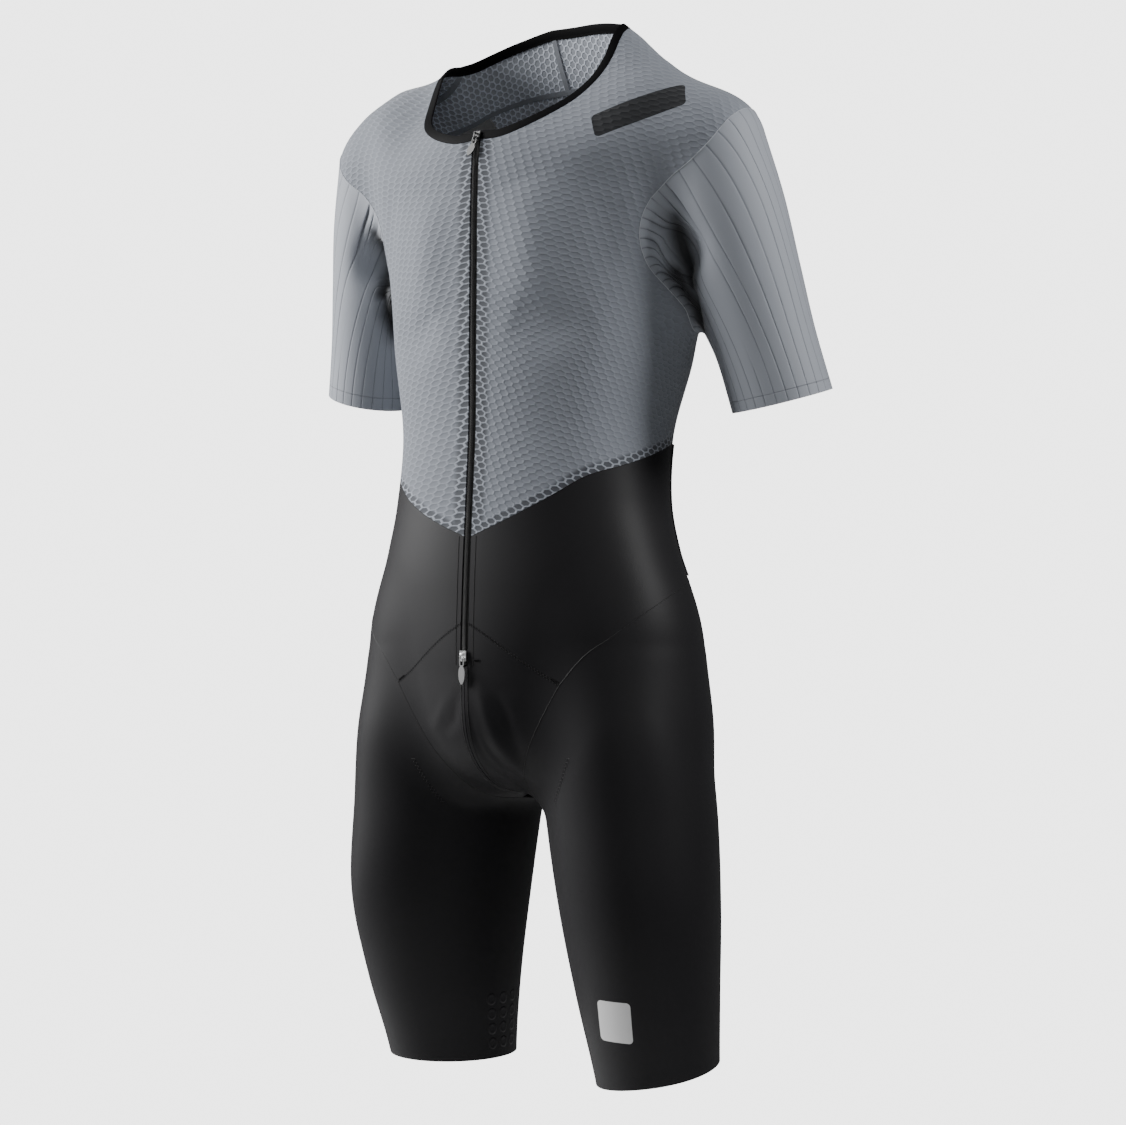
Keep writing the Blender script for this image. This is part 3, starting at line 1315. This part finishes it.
def zipLine():
    slotEnd = 2 * fine
    line = join(s["centreTop"][::-1], s["centreMid"], s["centreLow"][:slotEnd + 1])
    neckDepth = seams["neckEdge"][0][1] * mm
    first = ontoBody(np.array([(line[0, 0], neckDepth, zipLook["top"])]))
    return np.vstack([first, line])


def addCoil():
    # Each tooth is a half hoop: its ends lie on the tape and its crown turns over the centre line.
    line = zipLine()
    along = lengthAlong(line)
    count = int(along[-1] / zipLook["pitch"])
    at = (np.arange(count) + 0.5) * zipLook["pitch"]
    centre = np.column_stack([np.zeros(count), np.interp(at, along, line[:, 1]),
                              np.interp(at, along, line[:, 2])])
    normal = unit(outward(centre) * np.array((0, 1, 1)))
    down = np.cross(normal, np.array((1.0, 0, 0)))
    path = np.array(zipLook["course"])
    corners = 4
    points = []
    for hand in (-1, 1):
        base = centre + down * (hand * 0.25 * zipLook["pitch"])
        for x, out in path:
            spot = base + np.array((hand * x * zipLook["half"], 0, 0))
            spot = spot + normal * (zipLook["rise"] * (out * 1.25 - 0.35))
            for a in 2 * pi * np.arange(corners) / corners:
                points.append(spot + (down * np.cos(a) + normal * np.sin(a) * 0.8) * zipLook["wire"])
    grid = np.array(points).reshape(2, len(path), corners, count, 3)
    grid = grid.transpose(0, 3, 1, 2, 4).reshape(-1, 3)        # hand, tooth, step, corner
    quads = gridFaces(len(path), corners, True, 0, False)
    caps = np.array([np.arange(corners)[::-1], np.arange(corners) + (len(path) - 1) * corners])
    quads = np.concatenate([quads, caps])
    start = np.arange(2 * count)[:, None, None] * len(path) * corners
    piece = addMesh("zipCoil", grid + shiftAt(grid), (start + quads[None]).reshape(-1, 4), smooth=70)
    fixNormals(piece)
    finish(piece, ("coil",), "zip_black", "zip_chain")


addCoil()
print("zip made")


# Stitching

def spaced(line, pitch):
    along = lengthAlong(line)
    at = np.linspace(0, along[-1], max(2, round(along[-1] / pitch)) + 1)
    return np.column_stack([np.interp(at, along, line[:, k]) for k in range(3)])


def threadGrid(path, normals, radius, corners=5):
    # a round profile carried along the path, held upright by the cloth's normals
    across = acrossLine(path, normals)
    angle = 2 * pi * np.arange(corners) / corners
    return path[:, None] + radius * (np.cos(angle)[None, :, None] * normals[:, None]
                                     + np.sin(angle)[None, :, None] * across[:, None])


def addThreads(name, grids, look, slot):
    points = []
    faces = []
    offset = 0
    for grid in grids:
        rows, corners = grid.shape[:2]
        quads = gridFaces(rows, corners, True, offset, False)
        caps = [np.arange(corners)[::-1] + offset, np.arange(corners) + offset + (rows - 1) * corners]
        points.append(grid.reshape(-1, 3))
        faces.extend(quads.tolist())
        faces.extend(cap.tolist() for cap in caps)
        offset += rows * corners
    piece = addMesh(name, np.vstack(points), faces, smooth=70)
    fixNormals(piece)
    finish(piece, (look,), slot)


def lineOn(line, out, mirrored):
    # a line on the worn cloth, a little out of its face
    normals = outward(line)
    path = worn(line + normals * out, normals, mirrored, line)
    return path, (mirror(normals) if mirrored else normals)


def zigzag(line, pitch, wide, out, mirrored):
    # points stepped evenly along the line and thrown to either side in turn
    line = spaced(line, pitch)
    normals = outward(line)
    across = acrossLine(line, normals)
    turn = np.where(np.arange(len(line)) % 2, 1, -1)[:, None]
    path = line + across * turn * wide / 2 + normals * out
    return worn(path, normals, mirrored, line), (mirror(normals) if mirrored else normals)


tapes = {"wide": 5 * mm, "neck": 2.2 * mm, "thick": 0.5 * mm, "gap": 0.25 * mm, "pitch": 3 * mm}


def tapeGrids(line, mirrored, wide=tapes["wide"]):
    # a strip under the cloth, centred on the seam
    line = spaced(line, tapes["pitch"])
    normals = outward(line)
    across = acrossLine(line, normals)
    side = np.linspace(-0.5, 0.5, 3)[None, :, None] * wide
    strip = line[:, None] + across[:, None] * side
    upright = np.repeat(normals[:, None], 3, axis=1)
    top = wallThick + tapes["gap"]
    return (worn(strip - upright * top, upright, mirrored, strip),
            worn(strip - upright * (top + tapes["thick"]), upright, mirrored, strip))


def addTapes():
    grey = []
    black = []
    for _, mirrored in sides:
        grey += [tapeGrids(s[key], mirrored) for key in ("shoulder", "yoke", "sideTop")]
        black += [tapeGrids(s[key], mirrored) for key in ("sideLow", "veeFront", "veeBack", "diagonal", "hip",
                                                          "legFront", "legBack")]
    grey.append(tapeGrids(s["centreBack"], False))
    black.append(tapeGrids(s["centreLow"][3 * fine:] * np.array((0, 1, 1)), False))
    edge = join(s["neckFront"], s["neckBack"])
    edge[-1, 0] = 0
    black.append(tapeGrids(join(edge, mirror(edge[::-1])), False, tapes["neck"]))
    finish(walls("seamTapesGrey", grey), ("seamGrey",), "grey_mesh")
    finish(walls("seamTapesBlack", black), ("trim",), "black_trim")


addTapes()
print("seam tapes made")


stitches = {
    # zigzags: step, width, height over the cloth, the thread's radius
    "diagonal": (1.6 * mm, 2.6 * mm, 0.15 * mm, 0.16 * mm),
    "mark": (1.9 * mm, 3.2 * mm, 0.15 * mm, 0.2 * mm),
    "tack": (0.7 * mm, 1.6 * mm, 0.2 * mm, 0.22 * mm),
    "bigTack": (0.7 * mm, 1.6 * mm, 0.3 * mm, 0.25 * mm),
    # plain lines: step, height over the cloth, the thread's radius
    "hole": (2 * mm, 0.3 * mm, 0.3 * mm),
    "leg": (3 * mm, 0.0, 0.25 * mm),
    "facing": (3 * mm, 0.05 * mm, 0.3 * mm),
    "band": (2.5 * mm, 0.15 * mm, 0.25 * mm),
    # short zigzag marks on the legs and the bar tacks, in millimetres on the left side
    "legMark": ((99, -79, -658), (89, -75, -678), (76, -67, -699)),
    "legMarkFar": ((79, -74, -665), (70, -66, -686), (59, -55, -707)),
    "seamTack": ((82, -82, -589), (90, -81, -593)),
    "facingTack": ((11, -98, -574), (17, -98, -574)),
    # half the facing beside the zip, and half the band over the centre seam
    "facingHalf": 9.5 * mm,
    "bandHalf": 3.6 * mm,
}


def sewZigzag(line, kind, mirrored):
    pitch, wide, out, radius = stitches[kind]
    return threadGrid(*zigzag(line, pitch, wide, out, mirrored), radius)


def sewLine(line, kind, mirrored):
    pitch, out, radius = stitches[kind]
    return threadGrid(*lineOn(spaced(line, pitch), out, mirrored), radius)


def besideCentre(line, across):
    return ontoBody(line * np.array((0, 1, 1)) + np.array((across, 0, 0)))


def addStitching():
    dark = []
    light = []
    pale = []
    for _, mirrored in sides:
        light.append(sewZigzag(s["diagonal"], "diagonal", mirrored))
        light.append(sewZigzag(seam(stitches["legMarkFar" if mirrored else "legMark"], 12), "mark", mirrored))
        dark.append(sewZigzag(straightSeam(stitches["seamTack"], 6), "tack", mirrored))
        pale.append(sewLine(join(*(s[key] for key in holeSeams)), "hole", mirrored))
        for key in ("hip", "legBack", "legFront"):
            dark.append(sewLine(s[key], "leg", mirrored))
        facing = join(s["centreMid"], s["centreLow"][:2 * fine + 1])
        dark.append(sewLine(besideCentre(facing, stitches["facingHalf"]), "facing", mirrored))
        band = besideCentre(s["centreLow"][3 * fine:], stitches["bandHalf"])
        (light if mirrored else dark).append(sewLine(band, "band", mirrored))
    dark.append(sewZigzag(straightSeam(stitches["facingTack"], 6), "bigTack", False))
    addThreads("seamThreads", dark, "threadDark", "black_trim")
    addThreads("lightThreads", light, "threadMid", "black_trim")
    addThreads("armholeThreads", pale, "threadGrey", "grey_rib")


addStitching()
print("stitching made")

for node, look in (("slider_top", "darkSilver"), ("slider_bottom", "silver"), ("pull_top", "darkSilver"),
                   ("pull_bottom", "silver"), ("zip_tape_left", "tape"), ("zip_tape_right", "tape")):
    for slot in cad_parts[node].material_slots:
        slot.material = looks[look]


# Cloth facts


# Stage and light

studio = {"background": 3.55, "ambient": 0.05, "floor": 0.7, "floorHeight": -1.30}


def addLight(name, place, aim, size, power, spread=180):
    data = bpy.data.lights.new(name, "AREA")
    data.shape = "RECTANGLE"
    data.size, data.size_y = size
    data.energy = power
    data.spread = radians(spread)
    lamp = bpy.data.objects.new(name, data)
    lamp.location = place
    lamp.rotation_euler = (Vector(aim) - Vector(place)).to_track_quat("-Z", "Y").to_euler()
    bpy.context.scene.collection.objects.link(lamp)


def addStage():
    world = bpy.data.worlds.new("studio")
    bpy.context.scene.world = world
    world.use_nodes = True
    tree = world.node_tree
    tree.nodes.clear()
    seen = put(tree, "Background", {"Color": (1, 1, 1, 1), "Strength": studio["background"]})
    felt = put(tree, "Background", {"Color": (0.96, 0.98, 1, 1), "Strength": studio["ambient"]})
    direct = put(tree, "LightPath").outputs["Is Camera Ray"]
    both = put(tree, "MixShader", {0: direct, 1: felt.outputs[0], 2: seen.outputs[0]})
    out = put(tree, "OutputWorld")
    tree.links.new(both.outputs[0], out.inputs["Surface"])
    angle = 2 * pi * np.arange(64) / 64
    disc = np.column_stack([np.cos(angle), np.sin(angle), np.full(64, studio["floorHeight"])])
    floor = addMesh("floor", disc, [tuple(range(64))], smooth=0)
    made, tree, shader = newMaterial("floor", rough=0.9)
    shader.inputs["Base Color"].default_value = grey(studio["floor"])
    floor.data.materials.append(made)
    floor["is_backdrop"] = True


addStage()
middle = (0, 0, -0.48)
addLight("key", (-2.15, -1.15, 0.75), middle, (1.1, 1.6), 130)
addLight("rimRight", (2.5, 0.5, 1.0), (0.22, 0, -0.10), (0.9, 0.9), 6, 50)
addLight("rimLeft", (-2.6, -0.35, -0.2), middle, (0.8, 2.2), 12)
addLight("fill", (1.9, -2.0, 0.2), middle, (2.0, 2.0), 12)
print("stage and lights set")

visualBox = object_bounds()
for label, box in (("CAD", cadBox), ("visual", visualBox)):
    print(label, "size", [round(float(b - a), 4) for a, b in zip(*box)])
